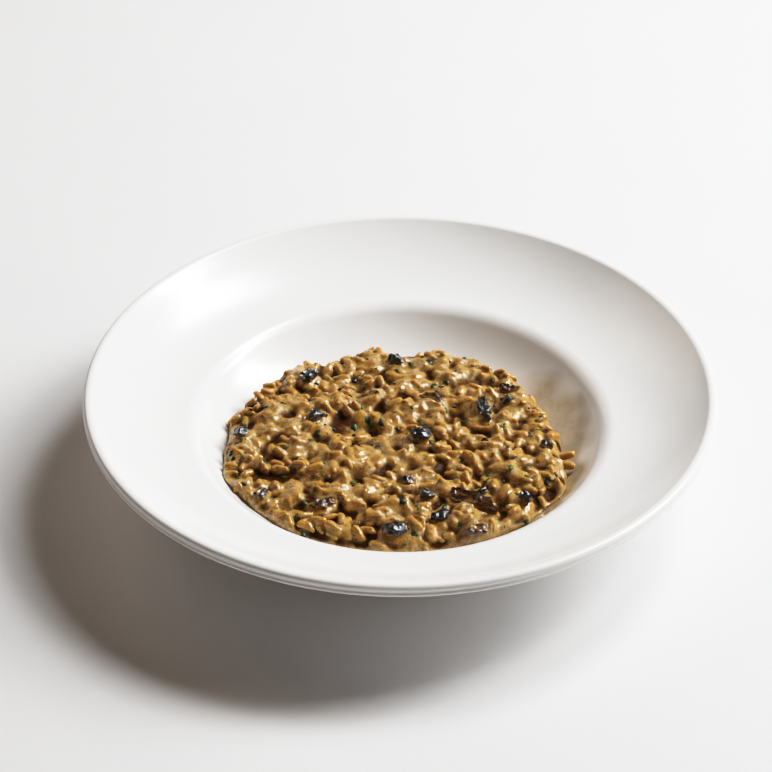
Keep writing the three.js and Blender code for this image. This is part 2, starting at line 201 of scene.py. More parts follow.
def bumps(tree, height, depth):
    """Normals of a fine relief, its depth in metres."""
    return add_node(tree, "ShaderNodeBump", {"Height": height, "Distance": depth}).outputs["Normal"]


def add_surface(tree, settings):
    """Ends a material with its surface."""
    shader = add_node(tree, "ShaderNodeBsdfPrincipled", settings)
    add_node(tree, "ShaderNodeOutputMaterial", {"Surface": shader.outputs["BSDF"]})


bpy.ops.mesh.primitive_plane_add(size=TABLE_SIZE, location=(0, 0, 0))
table = bpy.context.object
table.name = "table"

# Matt wall paint: no gloss, so that only its grain and clouds show
painted, tree = new_material("matt_white_paint_rolled")
clouds = noise_pattern(tree, CLOUD_WIDTH, detail=3)
grain = noise_pattern(tree, PAINT_GRAIN_WIDTH, detail=4)
add_surface(tree, {
    "Base Color": mixed(tree, clouds, TABLE_COLOUR, TABLE_CLOUD_COLOUR),
    "Normal": bumps(tree, grain, PAINT_GRAIN_DEPTH),
    "Roughness": 0.75, "Specular IOR Level": 0.25,
})
table.data.materials.append(painted)


# ---- Plate
# Hard porcelain, jigger-turned and glazed all over but for its foot ring: a flat floor, a coved
# well, a crest, and a wide rim that ends in a rounded bead over a thin lip. Its section is drawn
# from the middle of the floor out over the rim and back underneath, then turned about the axis.
FLOOR_RADIUS = 50.2
FLOOR_TOP = 7.0
FLOOR_UNDERSIDE = 2.6
WALL_THICKNESS = 4.8
COVE_RADIUS = 58.0
COVE_SLOPE = 50
COVE_STRAIGHT = 1.0
CREST_RADIUS = 12.0
RIM_INNER_SLOPE = 10
RIM_CURVE_RADIUS = 88.5
RIM_OUTER_SLOPE = 41
BEAD_RADIUS = 3.3
BEAD_SHOULDER_SLOPE = -12
SHOULDER_RADIUS = 1.9
GROOVE_DROP = 0.4
GROOVE_SLOPE = -100
GROOVE_RADIUS = 1.2
LIP_SLOPE = -50
LIP_RADIUS = 1.15
FOOT_INNER_RADIUS = 62.0
FOOT_OUTER_RADIUS = 69.0
FOOT_BEVEL = 0.9
FOOT_FILLET = 2.5
PLATE_STEPS = 192


def well_height(radius):
    """Height of the well's inner surface, in millimetres."""
    outward = np.maximum(radius - FLOOR_RADIUS, 0)
    return FLOOR_TOP + COVE_RADIUS - np.sqrt(COVE_RADIUS ** 2 - outward ** 2)


# The pen that draws the section: where it is, in millimetres, and where it heads, in degrees
pen_r, pen_z, pen_heading = 0.0, FLOOR_TOP, 0.0


def draw_to(r, z):
    """Draws a straight edge of the section to a point."""
    global pen_r, pen_z, pen_heading
    step = Vector((r - pen_r, 0, z - pen_z)) * MM
    bpy.ops.mesh.extrude_vertices_move(TRANSFORM_OT_translate={"value": step})
    pen_heading = math.degrees(math.atan2(z - pen_z, r - pen_r))
    pen_r, pen_z = r, z


def draw_arc(radius, to_heading, steps):
    """Draws an arc of the section that turns the pen to a new heading."""
    global pen_r, pen_z, pen_heading
    side = math.copysign(1, to_heading - pen_heading)
    start, end = math.radians(pen_heading), math.radians(to_heading)
    centre_r = pen_r - side * radius * math.sin(start)
    centre_z = pen_z + side * radius * math.cos(start)
    bpy.ops.mesh.spin(
        steps=steps, angle=start - end, center=(centre_r * MM, 0, centre_z * MM), axis=(0, -1, 0))
    pen_r = centre_r + side * radius * math.sin(end)
    pen_z = centre_z - side * radius * math.cos(end)
    pen_heading = to_heading


bpy.ops.mesh.primitive_plane_add(size=MM, location=(0, 0, 0))
plate = bpy.context.object
plate.name = "porcelain_plate"
bpy.ops.object.mode_set(mode="EDIT")
bpy.ops.mesh.merge(type="CENTER")
bpy.ops.transform.translate(value=(0, 0, FLOOR_TOP * MM))

draw_to(FLOOR_RADIUS, FLOOR_TOP)
draw_arc(COVE_RADIUS, COVE_SLOPE, 36)
cove_end = (pen_r, pen_z)
straight = math.radians(COVE_SLOPE)
draw_to(pen_r + COVE_STRAIGHT * math.cos(straight), pen_z + COVE_STRAIGHT * math.sin(straight))
draw_arc(CREST_RADIUS, RIM_INNER_SLOPE, 14)
draw_arc(RIM_CURVE_RADIUS, RIM_OUTER_SLOPE, 70)
rim_end = (pen_r, pen_z)
draw_arc(BEAD_RADIUS, BEAD_SHOULDER_SLOPE, 18)
draw_arc(SHOULDER_RADIUS, GROOVE_SLOPE, 12)
groove = math.radians(GROOVE_SLOPE)
draw_to(pen_r + GROOVE_DROP * math.cos(groove), pen_z + GROOVE_DROP * math.sin(groove))
draw_arc(GROOVE_RADIUS, LIP_SLOPE, 8)
draw_arc(LIP_RADIUS, -180, 14)

# Back underneath, a wall's thickness below the same curves
outer_slope = math.radians(RIM_OUTER_SLOPE)
draw_to(
    rim_end[0] + WALL_THICKNESS * math.sin(outer_slope),
    rim_end[1] - WALL_THICKNESS * math.cos(outer_slope))
pen_heading = RIM_OUTER_SLOPE - 180
draw_arc(RIM_CURVE_RADIUS + WALL_THICKNESS, RIM_INNER_SLOPE - 180, 24)
draw_arc(CREST_RADIUS - WALL_THICKNESS, COVE_SLOPE - 180, 8)
draw_to(
    cove_end[0] + WALL_THICKNESS * math.sin(straight),
    cove_end[1] - WALL_THICKNESS * math.cos(straight))
pen_heading = COVE_SLOPE - 180
foot_slope = math.degrees(math.asin(
    (FOOT_OUTER_RADIUS + FOOT_FILLET - FLOOR_RADIUS) / (COVE_RADIUS + WALL_THICKNESS)))
draw_arc(COVE_RADIUS + WALL_THICKNESS, foot_slope - 180, 20)
draw_arc(FOOT_FILLET, -90, 6)
draw_to(FOOT_OUTER_RADIUS, FOOT_BEVEL)
draw_arc(FOOT_BEVEL, -180, 5)
draw_to(FOOT_INNER_RADIUS + FOOT_BEVEL, 0)
draw_arc(FOOT_BEVEL, -270, 5)
draw_to(FOOT_INNER_RADIUS - FOOT_BEVEL, FLOOR_UNDERSIDE)
draw_to(0, FLOOR_UNDERSIDE)

bpy.ops.mesh.select_all(action="SELECT")
bpy.ops.mesh.spin(steps=PLATE_STEPS, angle=2 * math.pi, center=(0, 0, 0), axis=(0, 0, 1))
bpy.ops.mesh.select_all(action="SELECT")
bpy.ops.mesh.remove_doubles(threshold=0.002 * MM)
bpy.ops.mesh.normals_make_consistent(inside=False)
bpy.ops.object.mode_set(mode="OBJECT")
bpy.ops.object.shade_smooth_by_angle(angle=math.radians(35))

# Glazed hard porcelain, fired white: a soft even gloss over a bright body, waved very slightly
# where the glaze ran; the foot ring is wiped bare and shows the matt, warmer body
GLAZE_COLOUR = "#F6F6F5"
GLAZE_SHADE_COLOUR = "#F1F1F0"
BARE_BODY_COLOUR = "#DDD8CF"
GLAZE_ROUGHNESS = 0.2
BARE_ROUGHNESS = 0.75
GLAZE_WAVE_WIDTH = 28 * MM
GLAZE_WAVE_DEPTH = 0.03 * MM
BARE_FOOT_HEIGHT = 1.2 * MM

porcelain, tree = new_material("glazed_hard_porcelain_fired")
waves = noise_pattern(tree, GLAZE_WAVE_WIDTH, detail=1)
glaze = mixed(tree, waves, GLAZE_COLOUR, GLAZE_SHADE_COLOUR)
place = add_node(tree, "ShaderNodeTexCoord").outputs["Object"]
height = add_node(tree, "ShaderNodeSeparateXYZ", {0: place}).outputs["Z"]
bare = ramp(tree, height, (0.0, BARE_FOOT_HEIGHT), to=(1.0, 0.0))
add_surface(tree, {
    "Base Color": mixed(tree, bare, glaze, BARE_BODY_COLOUR),
    "Roughness": ramp(tree, bare, (0.0, 1.0), to=(GLAZE_ROUGHNESS, BARE_ROUGHNESS)),
    "Normal": bumps(tree, waves, GLAZE_WAVE_DEPTH),
    "IOR": 1.48,
})
plate.data.materials.append(porcelain)
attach(plate, "root")
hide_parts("plate")


# ---- Heap of risotto
# Cooked round-grain rice bound in a thick mushroom cream, spooned into the well, where it keeps
# an uneven outline, a steep rounded bank and the mounds and hollows that the spoon left.
HEAP_RADII = np.array([  # from +X, each 30 degrees
    77, 75, 74.5, 73, 75.5, 80, 84, 88, 86.5, 85, 85, 84.5,
])
SCALLOPS = [(0.7, 11, 1.0), (0.45, 23, 2.2)]  # height, count and phase
LOBES = [(-27, 7, 3.0), (-50, 9, 2.5), (-155, 9, 1.3)]  # azimuth and spread in degrees, and height
WELL_GAP = 0.5
CROWN = 26.0
BANK_WIDTH = 11.0
MOUNDS = [  # x, y, height and radius
    (-6, 24, 2.6, 13), (-20, 2, -2.6, 9), (-2, -2, -2.2, 8), (-28, -24, 1.8, 14), (-58, 14, 1.4, 13),
    (34, 38, 1.6, 13), (30, 2, -1.4, 12), (52, -28, 1.2, 15), (-14, -58, -1.2, 13),
]
LUMPS = [  # wavelength, heading in degrees, phase and height
    (31, 20, 0.4, 0.55), (23, 95, 2.1, 0.5), (17, 150, 4.0, 0.45), (12, 55, 1.2, 0.35),
]


def outline_radius(azimuth):
    """Radius of the heap's edge: a closed curve through HEAP_RADII, with scallops and lobes."""
    turn = np.mod(azimuth / (2 * math.pi), 1) * len(HEAP_RADII)
    index = np.floor(turn).astype(int)
    t = turn - index
    a, b, c, d = (HEAP_RADII[(index + step) % len(HEAP_RADII)] for step in (-1, 0, 1, 2))
    radius = b + 0.5 * t * (c - a + t * (2 * a - 5 * b + 4 * c - d + t * (3 * (b - c) + d - a)))
    for height, count, phase in SCALLOPS:
        radius = radius + height * np.sin(count * azimuth + phase)
    for middle, spread, height in LOBES:
        away = azimuth - math.radians(middle)
        apart = np.degrees(np.arctan2(np.sin(away), np.cos(away))) / spread
        radius = radius + height * np.exp(-apart ** 2)
    return radius


def heap_height(x, y):
    """Height of the heap's mean surface, in millimetres."""
    edge = outline_radius(np.arctan2(y, x))
    edge_height = well_height(edge) + WELL_GAP
    top = CROWN
    for mound_x, mound_y, height, radius in MOUNDS:
        top = top + height * np.exp(-((x - mound_x) ** 2 + (y - mound_y) ** 2) / radius ** 2)
    for wavelength, heading, phase, height in LUMPS:
        along = x * math.cos(math.radians(heading)) + y * math.sin(math.radians(heading))
        top = top + height * np.sin(2 * math.pi * along / wavelength + phase)
    inside = np.clip((edge - np.hypot(x, y)) / BANK_WIDTH, 0, 1)
    return edge_height + (top - edge_height) * np.sqrt(1 - (1 - inside) ** 2)


# The heap is built on a height map: what each new grain lies on. Heights are rounded to a millionth
# of a millimetre, so that the grains fall the same way each time.
CELL = 0.5
MAP_REACH = 96.0
DECIMALS = 6
axis = np.arange(-MAP_REACH, MAP_REACH, CELL)
map_x, map_y = np.meshgrid(axis, axis, indexing="ij")
inside_heap = np.hypot(map_x, map_y) < outline_radius(np.arctan2(map_y, map_x))
well = np.round(
    well_height(np.minimum(np.hypot(map_x, map_y), FLOOR_RADIUS + COVE_RADIUS - 1)), DECIMALS)
mean_surface = np.where(inside_heap, np.round(heap_height(map_x, map_y), DECIMALS), well)


def blurred(height_map, width):
    """The map smoothed by a bell curve of a width in millimetres."""
    waves = np.fft.fftfreq(len(axis), CELL)
    bell = np.exp(-2 * (math.pi * width * waves) ** 2)
    return np.round(np.fft.ifft2(np.fft.fft2(height_map) * np.outer(bell, bell)).real, DECIMALS)


def at_points(height_map, x, y):
    """Values of the map at points between its cells."""
    u, v = (np.clip((np.asarray(c) + MAP_REACH) / CELL, 0, len(axis) - 1.001) for c in (x, y))
    i, j = u.astype(int), v.astype(int)
    u, v = u - i, v - j
    near = height_map[i, j] * (1 - v) + height_map[i, j + 1] * v
    far = height_map[i + 1, j] * (1 - v) + height_map[i + 1, j + 1] * v
    return near * (1 - u) + far * u


def drifts(draw, width):
    """A map that wanders softly between about -1 and 1 over a width in millimetres."""
    wander = blurred(draw.standard_normal(map_x.shape), width)
    return np.round(wander / (2 * wander.std()), DECIMALS)


# ---- Mushroom pieces
# Dark caps, torn and chopped and stewed in the stock until the skin is nearly black and slippery.
# A piece is a thick scrap of cap that curls and creases, with flat sides where the knife went
# through, brown where the flesh shows; a slice lies with its cut face up. Each is bedded in the heap.
PIECE_CUTS = 13
TAPER_POWER = 1.6
PIECE_BEND = 0.15
PIECE_BOW = 0.15
CREASE_PLACE = 0.2  # across the piece, as a part of half its width
CREASE_SLANT = 0.15
CREASE_WIDTH = 0.2
CREASE_REACH = 0.3
CUT_FADE = 0.3  # how deep a cut is where it shows fully
SHAPE_RIPPLE = (1.5, 1.5)  # frequency and height, for half the piece's width
CUT_RIPPLE = (0.5, 2.2)  # the same for a millimetre, after the cuts
PIECE_FORMS = {  # boxiness, curl in degrees, taper, lean, crease, ripple, flesh up, number of cuts
    "slice": (4.0, 34, 0.6, -0.4, 0.12, 0.16, True, 3),  # flat, cut face up, one end wider
    "chunk": (5.0, 60, 0.2, 0.1, 0.3, 0.14, False, 8),  # a lump of cap with a dent across
    "fold": (3.6, 180, 0.35, 0.2, 0.9, 0.2, False, 4),  # a cap folded along a deep crease
    "dome": (2.6, 100, 0.15, 0.0, 0.1, 0.12, False, 3),  # a small whole cap, smooth on top
}
KNIFE_DEPTHS = (0.55, 0.8)  # how far out a knife cut lies, as a part of the piece's reach
FLAT_SIDE = Vector((0.44, -0.33, 0.84))  # the side of a lump that lies to the light
FLAT_SIDE_DEPTH = 0.88
BROAD_FLAT_DEPTH = 0.68
PIECES = [
    {"name": "cap_slice_long", "size": (29, 8.5, 3.6), "form": "slice", "heading": -26, "roll": 34,
     "bend": 0.35},
    {"name": "cap_block_middle", "size": (13, 8.5, 6.5), "form": "chunk", "heading": 5,
     "flat": BROAD_FLAT_DEPTH},
    {"name": "cap_strip_upright", "size": (19, 7, 5.5), "form": "fold", "heading": 97, "pitch": 10},
    {"name": "slice_brown_right", "size": (13, 6, 3.6), "form": "slice", "heading": -12, "roll": 30},
    {"name": "piece_under_slice", "size": (7.5, 5.5, 4.5), "form": "fold", "heading": 20},
    {"name": "slice_brown_middle", "size": (14.5, 8, 3.4), "form": "slice", "heading": 162,
     "roll": -30},
    {"name": "piece_far_edge", "size": (9.5, 7, 5), "form": "chunk", "heading": -15},
    {"name": "cap_fold_far_left", "size": (10.5, 8, 7), "form": "fold", "heading": 60},
    {"name": "cap_chunk_left", "size": (11.5, 9, 7), "form": "chunk", "heading": 30,
     "flat": BROAD_FLAT_DEPTH},
    {"name": "piece_left_edge", "size": (7.5, 6.5, 5.5), "form": "dome", "heading": 70},
    {"name": "piece_near_left", "size": (10.5, 6, 4.5), "form": "fold", "heading": 75},
    {"name": "slice_near_left", "size": (13, 6.5, 4), "form": "slice", "heading": 25, "roll": 20},
    {"name": "cap_dome_near", "size": (12, 8.5, 6.5), "form": "dome", "heading": 5},
    {"name": "piece_right_edge", "size": (8, 6.5, 5), "form": "chunk", "heading": -20},
    {"name": "roll_middle", "size": (9, 6, 5), "form": "fold", "heading": 22},
    {"name": "piece_beside_slice", "size": (9.5, 6, 4.5), "form": "chunk", "heading": 0},
    {"name": "chunk_near", "size": (11, 8, 5.5), "form": "chunk", "heading": 15,
     "flat": BROAD_FLAT_DEPTH},
    {"name": "piece_near_right", "size": (8.5, 6.5, 5), "form": "chunk", "heading": 110},
    {"name": "slice_near_right", "size": (13.5, 6.5, 4), "form": "slice", "heading": 14, "roll": 16},
]

# Without a seed of its own the noise that ripples the pieces would follow the clock
NOISE_SEED = 42
noise.seed_set(NOISE_SEED)


def ripple(points, frequency, height, start):
    """Moves points about softly, as the noise around them does."""
    for index, point in enumerate(points):
        place = Vector(point) * frequency + Vector(start)
        points[index] = point + height * np.array(noise.noise_vector(place))


def set_attribute(mesh, name, values):
    """Gives each point of a mesh a value that its material reads."""
    mesh.attributes.new(name, "FLOAT", "POINT").data.foreach_set("value", values)


def stewed_piece(name, size, form, turn, seed, bend=PIECE_BEND, flat_depth=FLAT_SIDE_DEPTH,
                 cuts=PIECE_CUTS):
    """A cut cube shaped into a curled, creased and chopped scrap of mushroom, longest along X."""
    boxiness, curl, taper, lean, crease, rippled, flesh_up, cut_sides = form
    bpy.ops.mesh.primitive_cube_add(size=2, location=(0, 0, 0))
    body = bpy.context.object
    body.name = name
    bpy.ops.object.mode_set(mode="EDIT")
    bpy.ops.mesh.subdivide(number_cuts=cuts)
    bpy.ops.object.mode_set(mode="OBJECT")
    points = np.empty(len(body.data.vertices) * 3)
    body.data.vertices.foreach_get("co", points)
    points = points.reshape(-1, 3)
    points /= (np.abs(points) ** boxiness).sum(axis=1, keepdims=True) ** (1 / boxiness)
    u, v, w = points.T.copy()

    # Narrower away from its widest place, curled across, bowed along, bent sideways and creased
    narrowing = taper * np.abs(u - lean) ** TAPER_POWER
    v_narrow = v * (1 - narrowing / (1 + abs(lean)) ** TAPER_POWER)
    half_turn = math.radians(curl / 2)
    thickness = size[2] / size[1]
    from_axis = 1 / half_turn + thickness * w
    y = from_axis * np.sin(v_narrow * half_turn) + bend * u ** 2
    z = from_axis * np.cos(v_narrow * half_turn) - 1 / half_turn - PIECE_BOW * u ** 2
    off_crease = (v_narrow - CREASE_PLACE + CREASE_SLANT * u) / CREASE_WIDTH
    crease_depth = crease * thickness * np.exp(-off_crease ** 2)
    z -= crease_depth * np.clip(w + CREASE_REACH, 0, 1)
    points = np.column_stack([u * size[0] / size[1], y, z])
    ripple(points, SHAPE_RIPPLE[0], SHAPE_RIPPLE[1] * rippled, (seed * 7.3, seed * 3.1, seed))
    low, high = points.min(axis=0), points.max(axis=0)
    points = (points - (low + high) / 2) / (high - low) * np.array(size)

    # Knife cuts, each of which leaves a flat side; the first is the side that lies to the light
    knife = np.random.default_rng(seed)
    flat_side = np.array(turn.to_3x3().inverted() @ FLAT_SIDE)
    cut_normals = [flat_side / np.linalg.norm(flat_side)]
    for _ in range(cut_sides):
        normal = knife.standard_normal(3) * (1, 1, 0.7)
        cut_normals.append(normal / np.linalg.norm(normal))
    cut_off = np.zeros(len(points))
    for index, normal in enumerate(cut_normals):
        depth = flat_depth if index == 0 else knife.uniform(*KNIFE_DEPTHS)
        beyond = np.maximum(points @ normal - depth * (points @ normal).max(), 0)
        points -= beyond[:, None] * normal
        shows = np.clip(beyond / CUT_FADE, 0, 1)
        if index == 0:
            on_flat_side = shows
        else:
            cut_off = np.maximum(cut_off, shows)
    ripple(points, CUT_RIPPLE[0], CUT_RIPPLE[1] * rippled, (seed, seed * 5.7, seed * 2.3))
    body.data.vertices.foreach_set("co", (points * MM).ravel())

    # Skin all over but for the cuts, and on a slice only along one side and below
    if flesh_up:
        skin = np.maximum(np.clip((v - 0.55) / 0.3, 0, 1), np.clip(-2 * w, 0, 1))
    else:
        skin = np.clip(0.85 + 1.5 * w - 0.6 * cut_off, 0, 1)
    set_attribute(body.data, "skin", skin)
    # The flat side that lies to the light is marked for a painted highlight in the material
    set_attribute(body.data, "painted_sheen", on_flat_side)
    body.data.transform(turn)
    return body


# Stewed mushroom: black-brown skin and brown spongy flesh, both soaked, under a film of stock that
# shines hard, with a painted highlight of pale bluish patches on the flat side that lies to the
# light, and sauce where a piece sinks in
SKIN_COLOUR = "#100D0B"
FLESH_COLOUR = "#7A4E1E"
FLESH_DARK_COLOUR = "#3A220A"
PAINTED_SHEEN_COLOUR = "#8C8F97"
SMEAR_COLOUR = "#8E6E3C"
CRINKLES = [(4.6, 1.0), (2.0, 0.55)]  # width and depth in millimetres
WRINKLE_WIDTH = 1.6 * MM
WRINKLE_DEPTH = 0.35 * MM
PAINTED_SHEEN_MOST = 0.6
SMEAR_MOST = 0.9

stewed, tree = new_material("mushroom_stewed_soft_in_stock")
wrinkles = noise_pattern(tree, WRINKLE_WIDTH, detail=4)
clouds = noise_pattern(tree, 2 * WRINKLE_WIDTH, detail=3)
flesh = mixed(tree, ramp(tree, wrinkles, (0.35, 0.6)), FLESH_COLOUR, FLESH_DARK_COLOUR)
bare = mixed(tree, attribute(tree, "skin"), flesh, SKIN_COLOUR)
# Painted highlight: pale bluish patches on the flat side that lies to the light, standing for the
# soft box's reflection
patches = ramp(tree, clouds, (0.42, 0.6), to=(0.0, PAINTED_SHEEN_MOST))
painted_sheen = maths(tree, "MULTIPLY", patches, attribute(tree, "painted_sheen"))
with_painted_sheen = mixed(tree, painted_sheen, bare, PAINTED_SHEEN_COLOUR)
smears = maths(tree, "ADD", attribute(tree, "dipped"), clouds)
smear = ramp(tree, smears, (0.75, 1.05), to=(0.0, SMEAR_MOST))
wrinkled = bumps(tree, wrinkles, WRINKLE_DEPTH)
add_surface(tree, {
    "Base Color": mixed(tree, smear, with_painted_sheen, SMEAR_COLOUR),
    "Roughness": 0.4, "IOR": 1.42, "Normal": wrinkled,
    "Coat Weight": 1.0, "Coat Roughness": 0.04, "Coat IOR": 1.68, "Coat Normal": wrinkled,
})

pieces = []
piece_top = np.full(map_x.shape, -1.0)  # top of the pieces, on the heap's map
for seed, piece in enumerate(PIECES):
    turn = (Matrix.Rotation(math.radians(piece["heading"]), 4, "Z")
            @ Matrix.Rotation(-math.radians(piece.get("pitch", 0)), 4, "Y")
            @ Matrix.Rotation(math.radians(piece.get("roll", 0)), 4, "X"))
    body = stewed_piece(
        piece["name"], piece["size"], PIECE_FORMS[piece["form"]], turn, seed,
        piece.get("bend", PIECE_BEND), piece.get("flat", FLAT_SIDE_DEPTH))
    rounded = body.modifiers.new("rounded", "SUBSURF")
    rounded.levels = 1
    bpy.ops.object.modifier_apply(modifier=rounded.name)
    for width, depth in CRINKLES:
        for vertex in body.data.vertices:
            place = vertex.co / (width * MM) + Vector((0, 0, 9 * seed))
            vertex.co += depth * MM * noise.noise_vector(place)
    low, high = (np.array(corner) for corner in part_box(f"mushroom_{piece['name']}"))
    corners = np.array(body.bound_box)
    body.data.transform(Matrix.Translation(
        (low + high) / 2 - (corners.min(axis=0) + corners.max(axis=0)) / 2))
    bpy.ops.object.shade_smooth()
    body.data.materials.append(stewed)
    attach(body, "root")
    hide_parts(f"mushroom_{piece['name']}")
    pieces.append(body)
    points = np.array([vertex.co for vertex in body.data.vertices]) / MM
    for step_x in (-1, 0, 1):
        for step_y in (-1, 0, 1):
            i = ((points[:, 0] + MAP_REACH) / CELL).astype(int) + step_x
            j = ((points[:, 1] + MAP_REACH) / CELL).astype(int) + step_y
            np.maximum.at(piece_top, (i, j), points[:, 2])


# ---- Rice
# Plump cooked grains with blunt ends, each a little bent and no two quite alike. They are laid
# one by one where the heap is lowest, each resting on the grains under it, and the heap they make
# has clumps and clefts a few grains wide.
GRAIN_LENGTH = 9.4
GRAIN_WIDTH = 4.7
GRAIN_THICKNESS = 4.0
GRAIN_KINDS = 6
GRAIN_BEND = 0.5
GRAIN_BLUNTNESS = 0.68
GRAIN_SIDES = 9
GRAIN_RINGS = 8
GRAIN_SQUARENESS = 2.8  # of its outline's ends, seen from above
GRAIN_TAPERS = (0.03, 0.05)  # the least, and the step from kind to kind
GRAIN_WAIST = 0.06
GRAIN_ROLL = 0.5
GRAINS = 1100
GRAIN_TRIES = 24
GRAIN_SIZES = (0.66, 1.08)
GRAIN_TILT = 0.16
GRAIN_SEED = 5150
BED_DEPTH = 4.2
CAVITY_IN_BED = 0.5
GRAINS_OVER_MEAN = 0.7
GRAIN_PROUD = -0.2  # a grain stays only where it lies this far below what is wanted
CLUMP_WIDTH = 5.0
CLUMP_HEIGHT = 1.3
CLEFT_DEPTH = 3.0
CLEFT_SHARPNESS = 0.34
EDGE_PROUD = 0.7
EDGE_WIDTH = 7.0
EDGE_MARGINS = (1.6, 3.2)
GRAIN_STEEPEST = 0.45  # tangent of the pitch
CAVITIES = [  # x, y, depth and radius of the deep gaps between clumps
    (-30, 3, 3, 4), (-25, -8, 3.2, 5), (-20, -40, 4.2, 3.5), (-45, -46, 3.2, 4), (-56, -33, 3, 3),
    (-67, -33, 2.5, 3), (-8, 18, 3, 4), (-1, -11, 3.5, 4), (30, 15, 3, 3.5), (36, -34, 3.6, 3.5),
    (49, -36, 3.2, 3), (27, -6, 2.2, 3), (-36, -54, 2.8, 4), (4, 25, 2.8, 3), (-47, -15, 2.8, 3),
    (-53, 13, 2.4, 3), (-17, -78, 2.2, 3), (17, 40, 2, 3.5), (6, -27, 2.4, 3), (-14, 4, 2.8, 3.5),
]
PIECE_SHOWS = 0.8  # no grain lies on a mushroom piece where it is this proud
SAUCE_UNDER_PIECE = 0.3
JUTTING_GRAINS = [(79, -13, -4), (78.5, -21.5, -24)]  # x, y and heading; they reach over the edge

draw = np.random.default_rng(GRAIN_SEED)
bed = np.where(inside_heap, np.maximum(mean_surface - BED_DEPTH, well), well)
cleft_lines = drifts(draw, CLUMP_WIDTH)
clumps = (CLUMP_HEIGHT * drifts(draw, CLUMP_WIDTH)
          - CLEFT_DEPTH * np.round(np.exp(-(cleft_lines / CLEFT_SHARPNESS) ** 2), DECIMALS))
for cavity_x, cavity_y, depth, radius in CAVITIES:
    apart = np.hypot(map_x - cavity_x, map_y - cavity_y) / radius
    clumps -= depth * np.exp(-apart ** 2)
    bed = np.round(np.maximum(bed - CAVITY_IN_BED * depth * np.exp(-apart ** 2), well), DECIMALS)
clumps = np.round(clumps, DECIMALS)
piece_top = np.round(piece_top, 4)
resting_on = np.maximum(bed, piece_top)
mushroom_cover = piece_top > mean_surface + PIECE_SHOWS
under_sauce = np.minimum(piece_top, mean_surface) - SAUCE_UNDER_PIECE
rice_top = np.where(piece_top > 0, np.maximum(bed, under_sauce), bed)


def footprint(x, y, heading, size):
    """Cells under a grain, their places along and across it, and its half-thickness there."""
    reach = int(GRAIN_LENGTH * size / 2 / CELL) + 2
    i, j = int((x + MAP_REACH) / CELL), int((y + MAP_REACH) / CELL)
    cells = np.s_[i - reach:i + reach + 1, j - reach:j + reach + 1]
    dx, dy = map_x[cells] - x, map_y[cells] - y
    along = dx * math.cos(heading) + dy * math.sin(heading)
    across = dy * math.cos(heading) - dx * math.sin(heading)
    from_middle = (np.abs(2 * along / (GRAIN_LENGTH * size)) ** GRAIN_SQUARENESS
                   + (2 * across / (GRAIN_WIDTH * size)) ** 2)
    half = GRAIN_THICKNESS * size / 2 * np.sqrt(np.clip(1 - from_middle, 0, 1))
    return cells, along, from_middle < 1, half


def rest_grain(x, y, heading, size):
    """Height and pitch at which a grain comes to rest."""
    cells, along, covered, half = footprint(x, y, heading, size)
    under = resting_on[cells]
    arm = GRAIN_LENGTH * size / 4
    ahead, behind = covered & (along > arm / 2), covered & (along < -arm / 2)
    pitch = (under[ahead].mean() - under[behind].mean()) / (2 * arm)
    pitch = min(max(pitch, -GRAIN_STEEPEST), GRAIN_STEEPEST)
    height = (under - along * pitch + half)[covered].max()
    return round(float(height), DECIMALS), round(float(pitch), DECIMALS)


def lay_grain(x, y, heading, size):
    """Lays a grain down for good, and raises the map under it."""
    height, pitch = rest_grain(x, y, heading, size)
    pitch += GRAIN_TILT * draw.standard_normal()
    cells, along, covered, half = footprint(x, y, heading, size)
    top = np.where(covered, height + along * pitch + half, -1e3)
    resting_on[cells] = np.maximum(resting_on[cells], top)
    rice_top[cells] = np.maximum(rice_top[cells], top)
    return x, y, height, heading, pitch, size


laid = [lay_grain(x, y, math.radians(heading), 1.0) for x, y, heading in JUTTING_GRAINS]
for _ in range(GRAINS):
    best = None
    for _ in range(GRAIN_TRIES):
        azimuth = draw.uniform(-math.pi, math.pi)
        outer_edge = float(outline_radius(azimuth))
        radius = (outer_edge - draw.uniform(*EDGE_MARGINS)) * math.sqrt(draw.uniform())
        x, y = radius * math.cos(azimuth), radius * math.sin(azimuth)
        heading = draw.uniform(0, math.pi)
        size = draw.uniform(*GRAIN_SIZES)
        cells, along, covered, half = footprint(x, y, heading, size)
        if (mushroom_cover[cells] & covered).any():
            continue
        height, pitch = rest_grain(x, y, heading, size)
        near_edge = max(0.0, 1 - (outer_edge - radius) / EDGE_WIDTH)
        wanted = float(heap_height(x, y)) + GRAINS_OVER_MEAN + float(at_points(clumps, x, y))
        proud = round(height - wanted - EDGE_PROUD * near_edge, DECIMALS)
        if best is None or proud < best[0]:
            best = (proud, x, y, heading, size)
    if best is not None and best[0] < GRAIN_PROUD:
        laid.append(lay_grain(*best[1:]))

# A few grains of different bend and taper are shaped, then copied to where each lies
kinds = []
for kind in range(GRAIN_KINDS):
    bpy.ops.mesh.primitive_uv_sphere_add(
        segments=GRAIN_SIDES, ring_count=GRAIN_RINGS, radius=1, rotation=(0, math.pi / 2, 0))
    grain = bpy.context.object
    bpy.ops.object.transform_apply(location=False, rotation=True, scale=False)
    points = np.array([vertex.co for vertex in grain.data.vertices])
    along = points[:, :1]
    from_axis = np.hypot(points[:, 1], points[:, 2])[:, None]
    points[:, 1:] *= np.maximum(from_axis, 1e-6) ** (GRAIN_BLUNTNESS - 1)
    taper = 1 + (GRAIN_TAPERS[0] + GRAIN_TAPERS[1] * kind) * along
    points[:, 1:] *= taper * (1 - GRAIN_WAIST * np.cos(3 * along))
    points[:, 1] += GRAIN_BEND * (kind - 2) / 4 * points[:, 0] ** 2
    points *= np.array([GRAIN_LENGTH, GRAIN_WIDTH, GRAIN_THICKNESS]) / 2
    kinds.append((points, [tuple(face.vertices) for face in grain.data.polygons]))
    bpy.data.objects.remove(grain)

